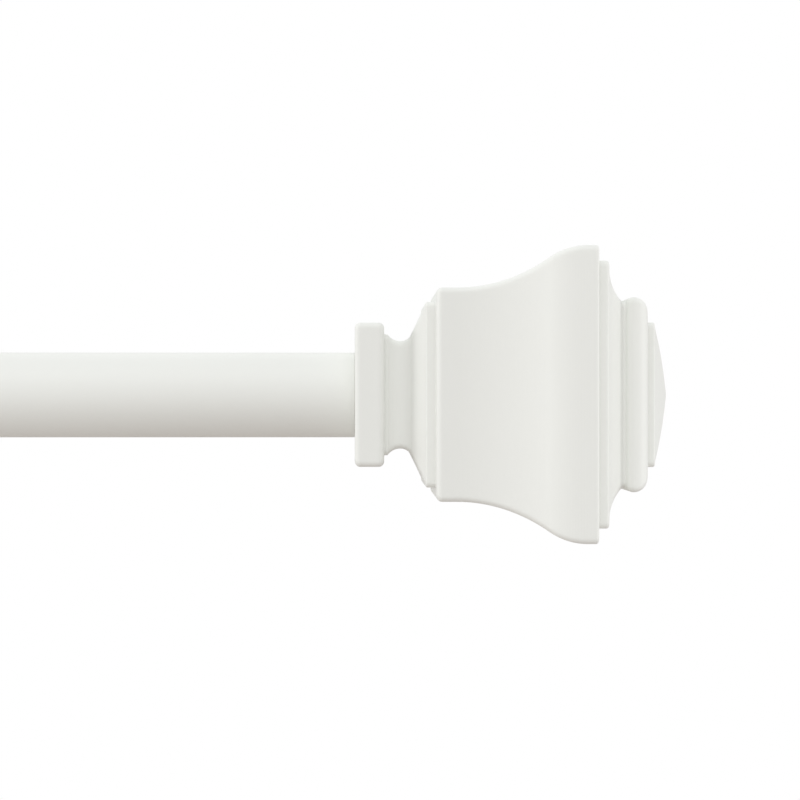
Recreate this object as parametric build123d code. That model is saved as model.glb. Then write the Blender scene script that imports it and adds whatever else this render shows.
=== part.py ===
from build123d import *
from math import atan, atan2, dist, sqrt, tan
import os

# The rod lies along X with its middle at the origin and Z up, drawn at its shortest setting.
rod_span = 711.0
tube_show = 51.0
outer_dia = 16.0
outer_wall = 0.6
inner_wall = 0.6
tube_edge = 0.15

# Fits: a pushed-in piece, a running piece, a screw in its thread.
snug = 0.03
running = 0.08
thread_gap = 0.05

# Guide ring in the open mouth of the outer tube.
lip_proud = 0.4
lip_thick = 2.2
lip_bevel = 0.6
sleeve_wall = 0.79
sleeve_depth = 22.0

# Plugs in the tube ends and the glide on the inner tube's hidden end.
plug_depth = 28.0
plug_lead = 0.8
glide_head = 14.0
glide_spigot = 16.0
glide_bore = 7.0
glide_lead = 0.8
stop_gap = 0.5

# Stud and threaded insert that hold a finial.
stud_dia = 6.0
stud_in_plug = 20.5
stud_in_finial = 19.0
stud_chamfer = 0.7
insert_dia = 9.0
insert_length = 20.0
insert_chamfer = 0.4
socket_floor = 0.6

# Finial mouldings from the tube outwards: sides of the square sections, lengths, and each step in or out.
collar_side = 26.5
collar_length = 5.4
collar_ledge = 2.1
step_length = 0.65
neck_depth = 1.2
scotia_fall = 2.35
scotia_rise = 4.5
body_side = 38.8
body_ledge = 2.5
lower_fillet_length = 1.9
body_flat = 3.7
ogee_length = 22.9
rim_side = 53.2
rim_length = 2.1
rim_ledge = 2.6
upper_fillet_length = 2.1
cove_length = 3.5
cove_depth = 7.4
cove_bow = 0.75
bead_proud = 1.15
bead_length = 4.45
bead_round = 2.8
bead_ledge = 4.45
top_fillet_length = 1.6
cap_ledge = 0.5
cap_height = 3.7
cap_bow = 0.24
tip_side = 1.2

# Where a double curve's arcs join, as shares of its length and depth, then the land and the softened edges.
scotia_join = (0.46, 0.2)
ogee_join = (0.71, 0.71)
land = 0.7
broad_edge = 1.0
rim_edge = 0.55
fine_edge = 0.35
arris = 0.5

outer_bore = outer_dia - 2 * outer_wall
lip_dia = outer_dia + 2 * lip_proud
inner_dia = outer_bore - 2 * (snug + sleeve_wall + running)
inner_bore = inner_dia - 2 * inner_wall
half_span = rod_span / 2
mouth_x = -half_span + tube_show + lip_thick
plug_end_x = half_span - plug_depth
glide_shoulder_x = plug_end_x - stop_gap - glide_head
socket_depth = insert_length + socket_floor


def rod_along_x(diameter, start, end):
    """Solid round bar on the X axis from start to end."""
    bar = Cylinder(diameter / 2, end - start, rotation=(0, 90, 0))
    return Pos((start + end) / 2, 0, 0) * bar


def pipe(diameter, bore, start, end):
    """Tube on the X axis from start to end."""
    return rod_along_x(diameter, start, end) - rod_along_x(bore, start, end)


def end_rims(shape, x, radius):
    """Circular edges of the given radius in the plane at x."""
    rims = shape.edges().filter_by(GeomType.CIRCLE).filter_by_position(Axis.X, x - 1e-4, x + 1e-4)
    return rims.filter_by(lambda edge: abs(edge.radius - radius) < 1e-4)


def at_end(shape, side):
    """Sets a piece drawn outward from a tube end at X = 0 on the right (1) or left (-1) end."""
    return Rot(0, 0, 0 if side > 0 else 180) * Pos(half_span, 0, 0) * shape


def slope(start, end):
    """Angle of the straight line from start to end."""
    return atan2(end[1] - start[1], end[0] - start[0])


def between(start, end, shares):
    """Point that lies the given shares of the way from start to end along X and outwards."""
    return tuple(a + share * (b - a) for a, b, share in zip(start, end, shares))


def bowed(start, end, bow):
    """Angle at which an arc from start to end sets off to stand bow out from its straight line, at most."""
    return slope(start, end) + 2 * atan(2 * bow / dist(start, end))


def arc_middle(start, end, heading):
    """Middle point of the arc that leaves start at the angle heading and runs to end."""
    bow = tan((slope(start, end) - heading) / 2) / 2
    run, rise = end[0] - start[0], end[1] - start[1]
    return (start[0] + end[0]) / 2 + bow * rise, (start[1] + end[1]) / 2 - bow * run


def finial_outline(widen, trim):
    """Half outline of the finial from tube side to tip, half sides drawn widen times as far out less trim."""
    def drawn(point):
        return point[0], widen * point[1] - trim

    def straight(*points):
        return Polyline([drawn(point) for point in points])

    def curved(start, end, heading):
        return ThreePointArc(drawn(start), drawn(arc_middle(start, end, heading)), drawn(end))

    collar, body, rim = collar_side / 2, body_side / 2, rim_side / 2
    step = collar - collar_ledge
    neck = step - neck_depth
    lower_fillet = body - body_ledge
    upper_fillet = rim - rim_ledge
    groove = upper_fillet - cove_depth
    bead = groove + bead_proud
    top_fillet = bead - bead_ledge
    step_x = collar_length + step_length
    neck_x = step_x + scotia_fall
    lower_x = neck_x + scotia_rise
    body_x = lower_x + lower_fillet_length
    ogee_x = body_x + body_flat
    rim_x = ogee_x + ogee_length
    rim_end_x = rim_x + rim_length
    cove_x = rim_end_x + upper_fillet_length
    groove_x = cove_x + cove_length
    bead_x = groove_x + bead_length
    cap_x = bead_x + top_fillet_length
    tip_x = cap_x + cap_height

    scotia_start, scotia_low, scotia_end = (step_x, step), (neck_x, neck), (lower_x, lower_fillet - land)
    scotia_turn = between(scotia_low, scotia_end, scotia_join)
    ogee_start, ogee_end = (ogee_x, body), (rim_x, rim)
    ogee_turn = between(ogee_start, ogee_end, ogee_join)
    cove_start, cove_end = (cove_x, upper_fillet - land), (groove_x, groove)
    bead_crest, bead_foot = (bead_x - bead_round, bead), (bead_x, bead - bead_round)
    cap_start, cap_end = (cap_x, top_fillet - cap_ledge), (tip_x, tip_side / 2)

    face = make_face([
        Line((0, 0), drawn((0, collar))),
        straight((0, collar), (collar_length, collar), (collar_length, step), scotia_start),
        curved(scotia_start, scotia_low, 2 * slope(scotia_start, scotia_low)),
        curved(scotia_low, scotia_turn, 0),
        curved(scotia_turn, scotia_end, 2 * slope(scotia_low, scotia_turn)),
        straight(scotia_end, (lower_x, lower_fillet), (body_x, lower_fillet), (body_x, body), ogee_start),
        curved(ogee_start, ogee_turn, 0),
        curved(ogee_turn, ogee_end, 2 * slope(ogee_start, ogee_turn)),
        straight(ogee_end, (rim_end_x, rim), (rim_end_x, upper_fillet), (cove_x, upper_fillet), cove_start),
        curved(cove_start, cove_end, bowed(cove_start, cove_end, -cove_bow)),
        curved(cove_end, bead_crest, 2 * slope(cove_end, bead_crest)),
        curved(bead_crest, bead_foot, 0),
        straight(bead_foot, (bead_x, top_fillet), (cap_x, top_fillet), cap_start),
        curved(cap_start, cap_end, bowed(cap_start, cap_end, cap_bow)),
        Polyline(drawn(cap_end), (tip_x, 0), (0, 0)),
    ])
    softened = [
        (0, collar, broad_edge), (collar_length, collar, broad_edge), (lower_x, lower_fillet, fine_edge),
        (body_x, body, broad_edge), (rim_end_x, rim, rim_edge), (cove_x, upper_fillet, rim_edge),
        (cap_x, top_fillet, fine_edge),
    ]
    for x, half, radius in softened:
        corner = face.vertices().sort_by_distance((*drawn((x, half)), 0))[0]
        face = fillet(corner, radius)
    return face


def finial_prism(widen, trim, turn):
    """Finial outline run straight through, seen square on at turn 0 and 90 and cornerwise at 45 and 135."""
    half = finial_outline(widen, trim)
    full = half + mirror(half, Plane.XZ)
    return Rot(turn, 0, 0) * extrude(full, amount=rim_side, both=True)


def finial():
    """Cast finial: mitred square mouldings with eased arrises, bored from the tube side for its insert."""
    square = finial_prism(1, 0, 0) & finial_prism(1, 0, 90)
    eased = finial_prism(sqrt(2), arris / sqrt(2), 45) & finial_prism(sqrt(2), arris / sqrt(2), 135)
    socket = rod_along_x(insert_dia + 2 * snug, 0, socket_depth)
    return (square & eased) - socket


def insert():
    """Threaded bush set flush in the finial's tube-side face."""
    bush = pipe(insert_dia, stud_dia + 2 * thread_gap, 0, insert_length)
    return chamfer(end_rims(bush, insert_length, insert_dia / 2), insert_chamfer)


def stud():
    """Screw stud, half in the plug and half in the insert."""
    bar = rod_along_x(stud_dia, -stud_in_plug, stud_in_finial)
    ends = end_rims(bar, -stud_in_plug, stud_dia / 2) + end_rims(bar, stud_in_finial, stud_dia / 2)
    return chamfer(ends, stud_chamfer)


def end_plug(bore):
    """Plug flush with the tube's end, threaded right through, with a tapered lead at its inner end."""
    outside = bore - 2 * snug
    plug = pipe(outside, stud_dia + 2 * thread_gap, -plug_depth, 0)
    return chamfer(end_rims(plug, -plug_depth, outside / 2), plug_lead)


def steel_tube(diameter, bore, start, end):
    """Steel tube with its cut ends dressed."""
    tube = pipe(diameter, bore, start, end)
    rims = end_rims(tube, start, diameter / 2) + end_rims(tube, end, diameter / 2)
    return chamfer(rims, tube_edge)


def mouth_sleeve():
    """Guide ring: a lip against the tube's end and a spigot inside it, bored to guide the inner tube."""
    guide = inner_dia + 2 * running
    lip = pipe(lip_dia, guide, mouth_x - lip_thick, mouth_x)
    lip = chamfer(end_rims(lip, mouth_x - lip_thick, lip_dia / 2), lip_bevel)
    return lip + pipe(outer_bore - 2 * snug, guide, mouth_x, mouth_x + sleeve_depth)


def inner_glide():
    """Glide: a head that runs in the outer tube and a spigot on which the inner tube turns."""
    head_dia = outer_bore - 2 * running
    head_end = glide_shoulder_x + glide_head
    head = pipe(head_dia, glide_bore, glide_shoulder_x, head_end)
    head = chamfer(end_rims(head, head_end, head_dia / 2), glide_lead)
    spigot_dia = inner_bore - 2 * running
    spigot = pipe(spigot_dia, glide_bore, glide_shoulder_x - glide_spigot, glide_shoulder_x)
    return head + chamfer(end_rims(spigot, glide_shoulder_x - glide_spigot, spigot_dia / 2), glide_lead)


one_finial = finial()
nodes = {
    "outer_tube": steel_tube(outer_dia, outer_bore, mouth_x, half_span),
    "mouth_sleeve": mouth_sleeve(),
    "inner_tube": steel_tube(inner_dia, inner_bore, -half_span, glide_shoulder_x),
    "inner_glide": inner_glide(),
    "right_end_plug": at_end(end_plug(outer_bore), 1),
    "left_end_plug": at_end(end_plug(inner_bore), -1),
    "right_stud": at_end(stud(), 1),
    "left_stud": at_end(stud(), -1),
    "right_insert": at_end(insert(), 1),
    "left_insert": at_end(insert(), -1),
    "right_finial": at_end(one_finial, 1),
    "left_finial": at_end(one_finial, -1),
}

os.makedirs("parts", exist_ok=True)
for name, solid in nodes.items():
    export_step(solid, f"parts/{name}.step")
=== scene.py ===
import math

import bpy
import numpy as np
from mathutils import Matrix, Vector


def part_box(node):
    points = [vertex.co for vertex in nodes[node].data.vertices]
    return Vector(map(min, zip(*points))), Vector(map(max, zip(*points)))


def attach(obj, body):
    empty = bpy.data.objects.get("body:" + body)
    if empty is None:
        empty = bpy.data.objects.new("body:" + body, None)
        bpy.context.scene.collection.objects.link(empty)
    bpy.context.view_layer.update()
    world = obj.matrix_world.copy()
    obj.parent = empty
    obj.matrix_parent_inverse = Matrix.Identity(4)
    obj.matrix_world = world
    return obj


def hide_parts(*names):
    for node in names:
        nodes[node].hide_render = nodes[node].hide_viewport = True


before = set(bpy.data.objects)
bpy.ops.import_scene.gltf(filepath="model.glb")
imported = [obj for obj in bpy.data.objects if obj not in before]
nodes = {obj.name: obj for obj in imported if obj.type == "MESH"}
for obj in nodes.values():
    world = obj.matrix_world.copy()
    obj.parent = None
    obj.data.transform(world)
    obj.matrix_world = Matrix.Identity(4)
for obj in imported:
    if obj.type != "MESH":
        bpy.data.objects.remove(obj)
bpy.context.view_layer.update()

# Outer tube: steel strip rolled round, seam-welded and stove-enamelled white.
# The guide ring is pushed into its open left mouth and the right finial's plug into its other end.
# The dressed weld still shows under the enamel as a faint ridge on the side towards the wall.
tube_wall = 0.0006
tube_edge = 0.00015
tube_sides = 180
weld_rise = 0.00005
weld_width = 0.0008
weld_angle = math.radians(-20)
sharp_turn = math.radians(30)
enamel_white = (0.872, 0.885, 0.852, 1)
drift_per_metre = 22


def skin(name, rings, start_tip=None, end_tip=None, loop=False):
    """Surface over a grid of rings, rings[i, j] being point j of ring i.

    Each ring closes on itself and is joined to the next by quads. A loop joins the last ring to the first,
    and a tip point closes an end by a fan.
    """
    rows, columns = rings.shape[:2]
    ring, spoke = np.meshgrid(np.arange(rows if loop else rows - 1), np.arange(columns), indexing="ij")
    after, beside = (ring + 1) % rows * columns, (spoke + 1) % columns
    ring = ring * columns
    quads = np.stack([ring + spoke, ring + beside, after + beside, after + spoke], -1).reshape(-1, 4)
    points, faces = [rings.reshape(-1, 3)], quads.tolist()
    spoke, beside = np.arange(columns), np.roll(np.arange(columns), -1)
    if start_tip is not None:
        points.append([start_tip])
        tip = np.full(columns, rows * columns)
        faces += np.stack([tip, beside, spoke], -1).tolist()
    if end_tip is not None:
        tip = np.full(columns, rows * columns + len(points) - 1)
        points.append([end_tip])
        last = (rows - 1) * columns
        faces += np.stack([tip, last + spoke, last + beside], -1).tolist()
    mesh = bpy.data.meshes.new(name)
    mesh.from_pydata(np.concatenate(points).tolist(), [], faces)
    mesh.shade_smooth()
    piece = bpy.data.objects.new(name, mesh)
    bpy.context.scene.collection.objects.link(piece)
    return piece


def turned(x, radius, angle):
    """Profile turned about X: point = (x, radius cos angle, radius sin angle) for every x and angle."""
    radius = radius + 0 * angle
    return np.stack([x + 0 * radius, radius * np.cos(angle), radius * np.sin(angle)], -1)


def steel_tube(name, start, end, outside):
    """Tube as a closed loop of rings: outer wall, right end, bore, left end, the outer rims bevelled.

    The weld is a bell-shaped ridge on the outer wall alone,
    rise * exp(-(arc length from the weld / width)^2).
    """
    bore = outside - tube_wall
    x = np.array([start, start + tube_edge, end - tube_edge, end, end, start])
    radius = np.array([outside - tube_edge, outside, outside, outside - tube_edge, bore, bore])
    angle = np.linspace(-math.pi, math.pi, tube_sides, endpoint=False) + weld_angle
    weld = weld_rise * np.exp(-(((angle - weld_angle) * outside / weld_width) ** 2))
    outer_wall = np.array([0, 1, 1, 0, 0, 0])
    tube = skin(name, turned(x[:, None], radius[:, None] + outer_wall[:, None] * weld, angle), loop=True)
    tube.data.set_sharp_from_angle(angle=sharp_turn)
    return tube


def sprayed_skin():
    """Group for sprayed paint: a broad drift of tone and sheen, and the fine orange peel of the dried film.

    Colour = tint * (1 - depth * broad noise), roughness = sheen + spread * (broad noise - 0.5),
    normal = bump of a fine noise with the given grains per metre and peel height.
    """
    group = bpy.data.node_groups.new("sprayed_skin", "ShaderNodeTree")
    for label, kind in (("Tint", "Color"), ("Depth", "Float"), ("Sheen", "Float"), ("Spread", "Float"),
                        ("Grains per Metre", "Float"), ("Peel Height", "Float")):
        group.interface.new_socket(label, in_out="INPUT", socket_type="NodeSocket" + kind)
    for label, kind in (("Color", "Color"), ("Roughness", "Float"), ("Normal", "Vector")):
        group.interface.new_socket(label, in_out="OUTPUT", socket_type="NodeSocket" + kind)
    new, link = group.nodes.new, group.links.new
    given, out = new("NodeGroupInput"), new("NodeGroupOutput")
    place = new("ShaderNodeTexCoord")
    drift = new("ShaderNodeTexNoise")
    drift.inputs["Scale"].default_value = drift_per_metre
    drift.inputs["Detail"].default_value = 3
    link(place.outputs["Object"], drift.inputs["Vector"])
    fade = new("ShaderNodeMath")
    fade.operation = "MULTIPLY"
    link(drift.outputs["Fac"], fade.inputs[0])
    link(given.outputs["Depth"], fade.inputs[1])
    keep = new("ShaderNodeMath")
    keep.operation = "SUBTRACT"
    keep.inputs[0].default_value = 1
    link(fade.outputs[0], keep.inputs[1])
    shade = new("ShaderNodeVectorMath")
    shade.operation = "SCALE"
    link(given.outputs["Tint"], shade.inputs[0])
    link(keep.outputs[0], shade.inputs["Scale"])
    link(shade.outputs["Vector"], out.inputs["Color"])
    centred = new("ShaderNodeMath")
    centred.operation = "SUBTRACT"
    centred.inputs[1].default_value = 0.5
    link(drift.outputs["Fac"], centred.inputs[0])
    gloss = new("ShaderNodeMath")
    gloss.operation = "MULTIPLY_ADD"
    link(centred.outputs[0], gloss.inputs[0])
    link(given.outputs["Spread"], gloss.inputs[1])
    link(given.outputs["Sheen"], gloss.inputs[2])
    link(gloss.outputs[0], out.inputs["Roughness"])
    peel = new("ShaderNodeTexNoise")
    peel.inputs["Detail"].default_value = 1
    link(place.outputs["Object"], peel.inputs["Vector"])
    link(given.outputs["Grains per Metre"], peel.inputs["Scale"])
    bump = new("ShaderNodeBump")
    link(peel.outputs["Fac"], bump.inputs["Height"])
    link(given.outputs["Peel Height"], bump.inputs["Distance"])
    link(bump.outputs["Normal"], out.inputs["Normal"])
    return group


sprayed = sprayed_skin()


def finish(name, group, values):
    """Material whose colour, roughness and normal come from the group, set to this piece's own values."""
    material = bpy.data.materials.new(name)
    material.use_nodes = True
    tree = material.node_tree
    surface = tree.nodes["Principled BSDF"]
    pattern = tree.nodes.new("ShaderNodeGroup")
    pattern.node_tree = group
    for label, value in values.items():
        pattern.inputs[label].default_value = value
    tree.links.new(pattern.outputs["Color"], surface.inputs["Base Color"])
    tree.links.new(pattern.outputs["Roughness"], surface.inputs["Roughness"])
    tree.links.new(pattern.outputs["Normal"], surface.inputs["Normal"])
    return material


white_enamel = finish("white_enamel", sprayed, {
    "Tint": enamel_white, "Depth": 0.03, "Sheen": 0.5, "Spread": 0.12,
    "Grains per Metre": 900, "Peel Height": 0.000006,
})
low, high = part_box("outer_tube")
outer_tube = steel_tube("outer_tube_enamelled", low[0], high[0], high[2])
outer_tube.data.materials.append(white_enamel)
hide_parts("outer_tube")
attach(outer_tube, "rod")

# Inner tube: the same enamelled steel tube, one size smaller, sliding in the outer tube.
# Its right end turns on the glide, out of sight, and the left finial's plug is driven into its left end.
low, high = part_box("inner_tube")
inner_tube = steel_tube("inner_tube_enamelled", low[0], high[0], high[2])
inner_tube.data.materials.append(white_enamel)
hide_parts("inner_tube")
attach(inner_tube, "inner_rod")

# Guide ring: one nylon moulding, its lip against the outer tube's mouth and its spigot inside it.
# The bore is a running fit on the inner tube, so the rod slides without rattling or scratching its enamel.
# Its section is turned about X: a quarter round on the lip's outer edge, then lip, spigot and bore.
guide_lip = 0.0022
guide_round = 0.0006
guide_round_points = 9
guide_running = 0.00008
guide_snug = 0.00003
guide_sides = 120
nylon_white = (0.79, 0.79, 0.765, 1)
low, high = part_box("mouth_sleeve")
lip_radius = high[2]
spigot_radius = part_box("outer_tube")[1][2] - tube_wall - guide_snug
bore_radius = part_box("inner_tube")[1][2] + guide_running
lip_end = low[0] + guide_lip
sweep = np.linspace(0, math.pi / 2, guide_round_points)
x = np.append(low[0] + guide_round * (1 - np.cos(sweep)), [lip_end, lip_end, high[0], high[0], low[0]])
radius = np.append(
    lip_radius - guide_round * (1 - np.sin(sweep)),
    [lip_radius, spigot_radius, spigot_radius, bore_radius, bore_radius],
)
angle = np.linspace(0, 2 * math.pi, guide_sides, endpoint=False)
guide_ring = skin("guide_ring", turned(x[:, None], radius[:, None], angle), loop=True)
guide_ring.data.set_sharp_from_angle(angle=sharp_turn)
white_nylon = finish("white_nylon", sprayed, {
    "Tint": nylon_white, "Depth": 0.02, "Sheen": 0.48, "Spread": 0.08,
    "Grains per Metre": 2600, "Peel Height": 0.000004,
})
guide_ring.data.materials.append(white_nylon)
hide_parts("mouth_sleeve")
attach(guide_ring, "rod")

# Glide and end plugs: nylon mouldings inside the tubes.
# The glide carries the inner tube's hidden end. Each plug is driven flush into a tube end to take a stud.
for name in ("inner_glide", "right_end_plug", "left_end_plug"):
    for material_slot in nodes[name].material_slots:
        material_slot.material = white_nylon

# Studs: lengths of zinc-plated screwed rod, half in the plug and half in the finial's insert.
# The thread is rolled, one millimetre a turn, and the cut ends are bevelled to start in the plug.
thread_pitch = 0.001
thread_depth = 0.00054
thread_flank = 1.45
thread_crest = 0.2
thread_rows = 10
thread_sides = 28
stud_bevel = 0.0007
zinc_bright = (0.60, 0.60, 0.57, 1)
zinc_warm = (0.66, 0.64, 0.56, 1)
cloud_per_metre = 260
grain_per_metre = 2400


def screwed_rod(name, start, end, outside):
    """Screw thread as a height field on a cylinder: radius = outside - depth * ridge.

    The ridge is a triangle wave of (x / pitch - angle / full turn), times flank less crest and held between
    0 and 1, so its crest and root are flat. A cone at each end trims it to the bevel.
    """
    rows = int(round((end - start) / thread_pitch * thread_rows))
    x = np.linspace(start, end, rows + 1)[:, None]
    angle = np.linspace(0, 2 * math.pi, thread_sides, endpoint=False)
    phase = (x / thread_pitch - angle / (2 * math.pi)) % 1
    ridge = np.clip(np.abs(2 * phase - 1) * thread_flank - thread_crest, 0, 1)
    cone = outside - stud_bevel + np.minimum(x - start, end - x)
    radius = np.minimum(outside - thread_depth * ridge, cone)
    return skin(name, turned(x, radius, angle), start_tip=(start, 0, 0), end_tip=(end, 0, 0))


def plated_skin():
    """Group for plated or turned metal: a broad cloud of two tints and a fine grain.

    Colour = tint shifted towards second tint by a broad noise,
    roughness = sheen + spread * (fine noise - 0.5), normal = bump of the fine noise.
    """
    group = bpy.data.node_groups.new("plated_skin", "ShaderNodeTree")
    for label, kind in (("Tint", "Color"), ("Second Tint", "Color"), ("Sheen", "Float"),
                        ("Spread", "Float"), ("Grain Height", "Float")):
        group.interface.new_socket(label, in_out="INPUT", socket_type="NodeSocket" + kind)
    for label, kind in (("Color", "Color"), ("Roughness", "Float"), ("Normal", "Vector")):
        group.interface.new_socket(label, in_out="OUTPUT", socket_type="NodeSocket" + kind)
    new, link = group.nodes.new, group.links.new
    given, out = new("NodeGroupInput"), new("NodeGroupOutput")
    place = new("ShaderNodeTexCoord")
    cloud = new("ShaderNodeTexNoise")
    cloud.inputs["Scale"].default_value = cloud_per_metre
    link(place.outputs["Object"], cloud.inputs["Vector"])
    tint = new("ShaderNodeMix")
    tint.data_type = "RGBA"
    link(cloud.outputs["Fac"], tint.inputs["Factor"])
    link(given.outputs["Tint"], tint.inputs["A"])
    link(given.outputs["Second Tint"], tint.inputs["B"])
    link(tint.outputs["Result"], out.inputs["Color"])
    grain = new("ShaderNodeTexNoise")
    grain.inputs["Scale"].default_value = grain_per_metre
    link(place.outputs["Object"], grain.inputs["Vector"])
    centred = new("ShaderNodeMath")
    centred.operation = "SUBTRACT"
    centred.inputs[1].default_value = 0.5
    link(grain.outputs["Fac"], centred.inputs[0])
    gloss = new("ShaderNodeMath")
    gloss.operation = "MULTIPLY_ADD"
    link(centred.outputs[0], gloss.inputs[0])
    link(given.outputs["Spread"], gloss.inputs[1])
    link(given.outputs["Sheen"], gloss.inputs[2])
    link(gloss.outputs[0], out.inputs["Roughness"])
    bump = new("ShaderNodeBump")
    link(grain.outputs["Fac"], bump.inputs["Height"])
    link(given.outputs["Grain Height"], bump.inputs["Distance"])
    link(bump.outputs["Normal"], out.inputs["Normal"])
    return group


plated = plated_skin()
bright_zinc = finish("bright_zinc", plated, {
    "Tint": zinc_bright, "Second Tint": zinc_warm, "Sheen": 0.32, "Spread": 0.2,
    "Grain Height": 0.000003,
})
bright_zinc.node_tree.nodes["Principled BSDF"].inputs["Metallic"].default_value = 1
for side, body in (("right", "right_screw"), ("left", "left_screw")):
    low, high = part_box(side + "_stud")
    stud = screwed_rod(side + "_stud_threaded", low[0], high[0], high[2])
    stud.data.materials.append(bright_zinc)
    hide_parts(side + "_stud")
    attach(stud, body)

# Inserts: turned brass bushes, threaded for the stud and set flush in each finial's tube-side face.
# They are moulded in, so only the end ring shows, and that only once a finial is unscrewed.
brass_light = (0.70, 0.53, 0.25, 1)
brass_dark = (0.62, 0.45, 0.20, 1)
turned_brass = finish("turned_brass", plated, {
    "Tint": brass_light, "Second Tint": brass_dark, "Sheen": 0.3, "Spread": 0.16,
    "Grain Height": 0.000003,
})
turned_brass.node_tree.nodes["Principled BSDF"].inputs["Metallic"].default_value = 1
for name in ("right_insert", "left_insert"):
    for material_slot in nodes[name].material_slots:
        material_slot.material = turned_brass

# Finials: square mouldings cast in resin in one piece, sanded and sprayed with satin white lacquer.
# From the tube: collar, scotia, lower fillet, flared body, rim, upper fillet, cove, bead, low pyramid cap.
# A blind socket in the collar's face holds the brass insert, and the finial screws up to the tube's end.
collar_half = 0.01325
collar_length = 0.0054
step_half = 0.01115
step_length = 0.00065
neck_half = 0.00995
scotia_fall = 0.00235
scotia_rise = 0.0045
scotia_join = (0.46, 0.2)
lower_fillet_half = 0.0169
lower_fillet_length = 0.0019
body_half = 0.0194
body_flat = 0.0037
ogee_length = 0.0229
ogee_join = (0.71, 0.71)
rim_half = 0.0266
rim_length = 0.0021
upper_fillet_half = 0.024
upper_fillet_length = 0.0021
cove_length = 0.0035
cove_bow = 0.00075
groove_half = 0.0166
bead_half = 0.01775
bead_length = 0.00445
bead_round = 0.0028
top_fillet_half = 0.0133
top_fillet_length = 0.0016
cap_half = 0.0128
cap_height = 0.0037
cap_bow = 0.00024
tip_half = 0.0006
tip_edge = 0.0004
tip_ring = 0.0001
socket_radius = 0.00453
socket_depth = 0.0206
face_ring = 0.002
land = 0.0007
broad_edge = 0.001
rim_edge = 0.00055
fine_edge = 0.00035
edge_steps = 6
lacquer_fill = 0.0002
groove_fill = 0.00045
flat_margin = 0.00005
flat_reach = 0.985
arris_round = 0.001
arris_points = 8
lacquer_white = (0.872, 0.885, 0.852, 1)
# The darker white below is painted shade for tight inner corners. The three values after it set how far
# that painted shade spreads, how strong it is and where it starts.
lacquer_shaded = (0.842, 0.854, 0.822, 1)
shade_reach = 0.0009
shade_gain = 1.7
shade_threshold = 0.7


def slope(start, end):
    """Angle of the straight line from start to end."""
    return math.atan2(end[1] - start[1], end[0] - start[0])


def between(start, end, shares):
    """Point that lies the given shares of the way from start to end along X and outwards."""
    return tuple(a + share * (b - a) for a, b, share in zip(start, end, shares))


def bowed(start, end, bow):
    """Angle at which an arc from start to end sets off to stand bow out from its chord.

    It is the chord's angle + 2 atan(2 bow / chord).
    """
    return slope(start, end) + 2 * math.atan(2 * bow / math.dist(start, end))


def arc(start, end, heading, count):
    """Arc that leaves start at the angle heading and ends at end, as count points after the start.

    With chord c at the angle s it turns by 2 (s - heading) on the radius c / (2 sin(s - heading)).
    Each point is a row of (x, half side, 0), the 0 being its rounding.
    """
    turn = 2 * (slope(start, end) - heading)
    radius = math.dist(start, end) / (2 * math.sin(turn / 2))
    t = heading + turn * np.linspace(0, 1, count + 1)[1:]
    x = start[0] + radius * (np.sin(t) - math.sin(heading))
    y = start[1] - radius * (np.cos(t) - math.cos(heading))
    return np.stack([x, y, 0 * x], -1)


def eased(corners, steps):
    """Path through rows of (x, half side, radius) with each corner rounded to its radius.

    A corner that turns by d starts its arc radius * tan(d / 2) early. The arc is
    start + radius * (sin(t d) along + (1 - cos(t d)) inwards) for t from 0 to 1.
    """
    points, radius = corners[:, :2], corners[1:-1, 2, None]
    along = np.diff(points, axis=0)
    along /= np.linalg.norm(along, axis=1, keepdims=True)
    ahead, onward = along[:-1], along[1:]
    inward = np.stack([-ahead[:, 1], ahead[:, 0]], -1)
    turn = np.arctan2((inward * onward).sum(1), (ahead * onward).sum(1))[:, None]
    start = points[1:-1] - radius * np.tan(np.abs(turn) / 2) * ahead
    t = np.linspace(0, 1, steps + 1) * turn
    forward = np.sin(np.abs(t))[..., None] * ahead[:, None]
    sideways = (np.sign(turn) * (1 - np.cos(t)))[..., None] * inward[:, None]
    rounded = start[:, None] + radius[:, None] * (forward + sideways)
    path = np.concatenate([points[:1], rounded.reshape(-1, 2), points[-1:]])
    least_step = 1e-8
    apart = np.linalg.norm(np.diff(path, axis=0), axis=1) > least_step
    return path[np.append(True, apart)]


def firmed(path, reach):
    """Path with a point added reach in from both ends of every run longer than six times reach.

    Flats then shade flat right up to their edges.
    """
    start, end = path[:-1], path[1:]
    length = np.linalg.norm(end - start, axis=1, keepdims=True)
    step = reach * (end - start) / length
    runs = np.stack([start, start + step, end - step], 1)
    wanted = np.ones(runs.shape[:2], bool)
    wanted[:, 1:] = length > 6 * reach
    return np.concatenate([runs[wanted], path[-1:]])


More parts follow.
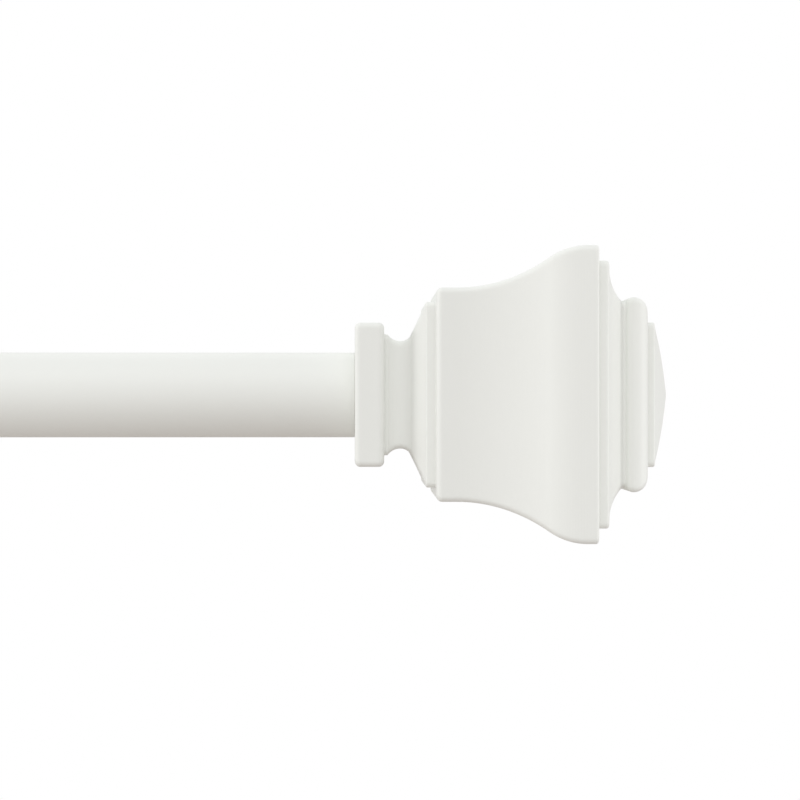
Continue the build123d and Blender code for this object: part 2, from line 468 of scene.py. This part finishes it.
def finial_path():
    """Half outline of the finial from the collar's face to the tip, as (distance from the tube, half side).

    Straight runs are given by their corners and curved stretches by arcs. The arcs on both sides of the
    groove stop short of it, to leave room for the lacquer that fills it.
    """
    step_x = collar_length + step_length
    neck_x = step_x + scotia_fall
    lower_x = neck_x + scotia_rise
    body_x = lower_x + lower_fillet_length
    ogee_x = body_x + body_flat
    rim_x = ogee_x + ogee_length
    rim_end_x = rim_x + rim_length
    cove_x = rim_end_x + upper_fillet_length
    groove_x = cove_x + cove_length
    bead_x = groove_x + bead_length
    cap_x = bead_x + top_fillet_length
    tip_x = cap_x + cap_height
    scotia_start, scotia_low = (step_x, step_half), (neck_x, neck_half)
    scotia_end = (lower_x, lower_fillet_half - land)
    scotia_turn = between(scotia_low, scotia_end, scotia_join)
    ogee_start, ogee_end = (ogee_x, body_half), (rim_x, rim_half)
    ogee_turn = between(ogee_start, ogee_end, ogee_join)
    cove_start, cove_end = (cove_x, upper_fillet_half - land), (groove_x, groove_half)
    bead_crest, bead_foot = (bead_x - bead_round, bead_half), (bead_x, bead_half - bead_round)
    cap_start, cap_end = (cap_x, cap_half), (tip_x, tip_half)
    corners = np.concatenate([
        [(0, socket_radius + face_ring, 0), (0, collar_half, broad_edge)],
        [(collar_length, collar_half, broad_edge), (collar_length, step_half, lacquer_fill)],
        [(*scotia_start, lacquer_fill)],
        arc(scotia_start, scotia_low, 2 * slope(scotia_start, scotia_low), 10),
        arc(scotia_low, scotia_turn, 0, 10),
        arc(scotia_turn, scotia_end, 2 * slope(scotia_low, scotia_turn), 8),
        [(lower_x, lower_fillet_half, fine_edge), (body_x, lower_fillet_half, lacquer_fill)],
        [(body_x, body_half, broad_edge), (*ogee_start, 0)],
        arc(ogee_start, ogee_turn, 0, 20),
        arc(ogee_turn, ogee_end, 2 * slope(ogee_start, ogee_turn), 14),
        [(rim_end_x, rim_half, rim_edge), (rim_end_x, upper_fillet_half, lacquer_fill)],
        [(cove_x, upper_fillet_half, rim_edge), (*cove_start, 0)],
        arc(cove_start, cove_end, bowed(cove_start, cove_end, -cove_bow), 16)[:-2],
        [(*cove_end, groove_fill)],
        arc(cove_end, bead_crest, 2 * slope(cove_end, bead_crest), 12)[4:],
        arc(bead_crest, bead_foot, 0, 14),
        [(bead_x, top_fillet_half, lacquer_fill), (cap_x, top_fillet_half, fine_edge), (*cap_start, 0)],
        arc(cap_start, cap_end, bowed(cap_start, cap_end, cap_bow), 10)[:-1],
        [(*cap_end, tip_edge), (tip_x, tip_ring, 0)],
    ])
    return firmed(eased(corners, edge_steps), flat_margin)


def corner_shade(path):
    """How much painted shade darkens each point of the path, from 0 to 1.

    The path's inward turns, in right angles, are summed with the weight exp(-(length between / reach)^2).
    Gain times that sum, less the threshold, is near 1 in a tight inner corner and 0 in a gentle hollow, on
    flats and on outer edges.
    """
    step = np.diff(path, axis=0)
    along = np.append(0, np.cumsum(np.linalg.norm(step, axis=1)))
    heading = np.unwrap(np.arctan2(step[:, 1], step[:, 0]))
    turn = np.concatenate([[0], np.diff(heading), [0]])
    weight = np.exp(-(((along[:, None] - along) / shade_reach) ** 2))
    return np.clip(shade_gain * (weight @ np.maximum(turn, 0)) / (math.pi / 2) - shade_threshold, 0, 1)


def mitred_rings(half, soft, bore):
    """Rounded-square rings, one for each half side: y = a (half - r) + r cos f, z = b (half - r) + r sin f.

    The pair (a, b) runs along each flat and stays at a corner while f turns through it, and r is soft, or
    half of a small ring's half side. Each bore radius adds a round ring in front, with its points at the
    angles of the first square one.
    """
    flat, round_off = np.array([-flat_reach, 0, flat_reach]), np.linspace(0, math.pi / 2, arris_points)
    a = np.ones(len(flat) + len(round_off))
    b = np.append(flat, np.ones(len(round_off)))
    f = np.append(0 * flat, round_off)
    a, b = np.concatenate([a, -b, -a, b]), np.concatenate([b, a, -b, -a])
    f = np.concatenate([f + k * math.pi / 2 for k in range(4)])
    r = np.minimum(soft, half / 2)[:, None]
    y = a * (half[:, None] - r) + r * np.cos(f)
    z = b * (half[:, None] - r) + r * np.sin(f)
    ray = np.arctan2(z[0], y[0])
    bore = bore[:, None]
    return np.concatenate([bore * np.cos(ray), y]), np.concatenate([bore * np.sin(ray), z])


path = finial_path()
bore = np.full(2, socket_radius)
along = np.concatenate([[socket_depth, 0], path[:, 0]])
y, z = mitred_rings(path[:, 1], arris_round, bore)
satin_lacquer = finish("satin_lacquer", sprayed, {
    "Tint": lacquer_white, "Depth": 0.02, "Sheen": 0.5, "Spread": 0.08,
    "Grains per Metre": 1100, "Peel Height": 0.000005,
})
tree = satin_lacquer.node_tree
# Painted shade: the corner attribute mixes the lacquer towards the darker white in tight inner corners.
shade_attribute = tree.nodes.new("ShaderNodeAttribute")
shade_attribute.attribute_name = "painted_corner_shade"
shade_mix = tree.nodes.new("ShaderNodeMix")
shade_mix.data_type = "RGBA"
shade_mix.inputs["B"].default_value = lacquer_shaded
colour = tree.nodes["Principled BSDF"].inputs["Base Color"]
tree.links.new(shade_attribute.outputs["Fac"], shade_mix.inputs["Factor"])
tree.links.new(colour.links[0].from_socket, shade_mix.inputs["A"])
tree.links.new(shade_mix.outputs["Result"], colour)
# Painted shade, one value for every point of a ring: none in the socket, the path's own on the outside,
# none on both tips.
shade_amount = np.append(np.repeat(np.append(0 * bore, corner_shade(path)), y.shape[1]), [0, 0])
for side, way, body in (("right", 1, "right_end"), ("left", -1, "left_end")):
    low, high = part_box(side + "_finial")
    tube_end = low[0] if way > 0 else high[0]
    x = np.broadcast_to(tube_end + way * along[:, None], y.shape)
    socket_floor, tip = (tube_end + way * socket_depth, 0, 0), (tube_end + way * path[-1, 0], 0, 0)
    finial = skin(side + "_finial_cast", np.stack([x, way * y, z], -1), socket_floor, tip)
    finial.data.attributes.new("painted_corner_shade", "FLOAT", "POINT").data.foreach_set("value", shade_amount)
    finial.data.materials.append(satin_lacquer)
    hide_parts(side + "_finial")
    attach(finial, body)

# Studio: a round floor of pale paper well below the rod, fading to white at its rim, in a white surround.
# Soft boxes stand above, behind, on both sides, low on the right and in front.
# The floor throws a dim warm light back up, so the undersides fall off as they do over a table.
floor_drop = 0.6
floor_radius = 2.6
floor_fade = 1.9
floor_spokes = 96
floor_pale = (0.527, 0.483, 0.456, 1)
floor_rim = (0.95, 0.95, 0.95, 1)
surround_glow = 0.709
lit_spot = (0.36, 0, 0)
spokes = np.linspace(0, 2 * math.pi, floor_spokes, endpoint=False)
across, deep = floor_radius * np.cos(spokes), floor_radius * np.sin(spokes)
rim_ring = np.stack([across, deep, 0 * spokes - floor_drop], -1)
halfway_ring = rim_ring * (0.5, 0.5, 1)
floor = skin("floor", np.stack([rim_ring, halfway_ring]), end_tip=(0, 0, -floor_drop))
floor_paper = bpy.data.materials.new("floor_paper")
floor_paper.use_nodes = True
tree = floor_paper.node_tree
paper = tree.nodes["Principled BSDF"]
paper.inputs["Roughness"].default_value = 0.9
spot = tree.nodes.new("ShaderNodeTexCoord")
distance = tree.nodes.new("ShaderNodeVectorMath")
distance.operation = "LENGTH"
fade = tree.nodes.new("ShaderNodeMapRange")
fade.interpolation_type = "SMOOTHSTEP"
fade.inputs["From Min"].default_value = floor_fade
fade.inputs["From Max"].default_value = floor_radius
blend = tree.nodes.new("ShaderNodeMix")
blend.data_type = "RGBA"
blend.inputs["A"].default_value = floor_pale
blend.inputs["B"].default_value = floor_rim
tree.links.new(spot.outputs["Object"], distance.inputs[0])
tree.links.new(distance.outputs["Value"], fade.inputs["Value"])
tree.links.new(fade.outputs["Result"], blend.inputs["Factor"])
tree.links.new(blend.outputs["Result"], paper.inputs["Base Color"])
floor.data.materials.append(floor_paper)


def turned_to(place, aim):
    """Euler angles that turn a lamp or camera at place, which looks down its own -Z, to face aim."""
    facing = np.subtract(aim, place)
    tilt = math.acos(-facing[2] / np.linalg.norm(facing))
    return tilt, 0, math.atan2(facing[1], facing[0]) - math.pi / 2


def soft_box(name, place, size, watts):
    """Square area light at place, facing the lit spot and hidden from the camera."""
    lamp = bpy.data.lights.new(name, "AREA")
    lamp.size = size
    lamp.energy = watts
    box = bpy.data.objects.new(name, lamp)
    box.location = place
    box.rotation_euler = turned_to(place, lit_spot)
    box.visible_camera = False
    bpy.context.scene.collection.objects.link(box)


soft_box("overhead_box", (0.2, -2.0, 2.6), 2.4, 21.6)
soft_box("back_box", (0.36, 2.2, 2.2), 2.0, 9.1)
soft_box("left_box", (-3.4, -0.4, 0.5), 1.7, 38.4)
soft_box("right_box", (4.0, 0.3, 0.5), 2.4, 11.4)
soft_box("right_low_box", (3.7, -0.6, -0.2), 0.7, 18)
soft_box("front_box", (0.36, -3.4, 0.5), 2.4, 8.2)

surround = bpy.data.worlds.new("surround")
surround.use_nodes = True
tree = surround.node_tree
tree.nodes.clear()
seen = tree.nodes.new("ShaderNodeBackground")
seen.inputs["Color"].default_value = (1, 1, 1, 1)
glow = tree.nodes.new("ShaderNodeBackground")
glow.inputs["Color"].default_value = (1, 1, 1, 1)
glow.inputs["Strength"].default_value = surround_glow
ray_kind = tree.nodes.new("ShaderNodeLightPath")
choice = tree.nodes.new("ShaderNodeMixShader")
world_out = tree.nodes.new("ShaderNodeOutputWorld")
tree.links.new(ray_kind.outputs["Is Camera Ray"], choice.inputs["Fac"])
tree.links.new(glow.outputs[0], choice.inputs[1])
tree.links.new(seen.outputs[0], choice.inputs[2])
tree.links.new(choice.outputs[0], world_out.inputs["Surface"])
bpy.context.scene.world = surround
bpy.context.scene.view_settings.view_transform = "Standard"

# Camera: level with the rod and square on to the right finial.
# It stands close, so that the rod runs out of the frame to the left.
camera_place = (0.35745, -0.4143, -0.00145)
camera_aim = (0.36400, 0.0, -0.00095)
camera_sensor = 36
camera_lens = 98.5
lens = bpy.data.cameras.new("camera")
lens.sensor_width = camera_sensor
lens.lens = camera_lens
camera = bpy.data.objects.new("camera", lens)
camera.location = camera_place
camera.rotation_euler = turned_to(camera_place, camera_aim)
bpy.context.scene.collection.objects.link(camera)
bpy.context.scene.camera = camera
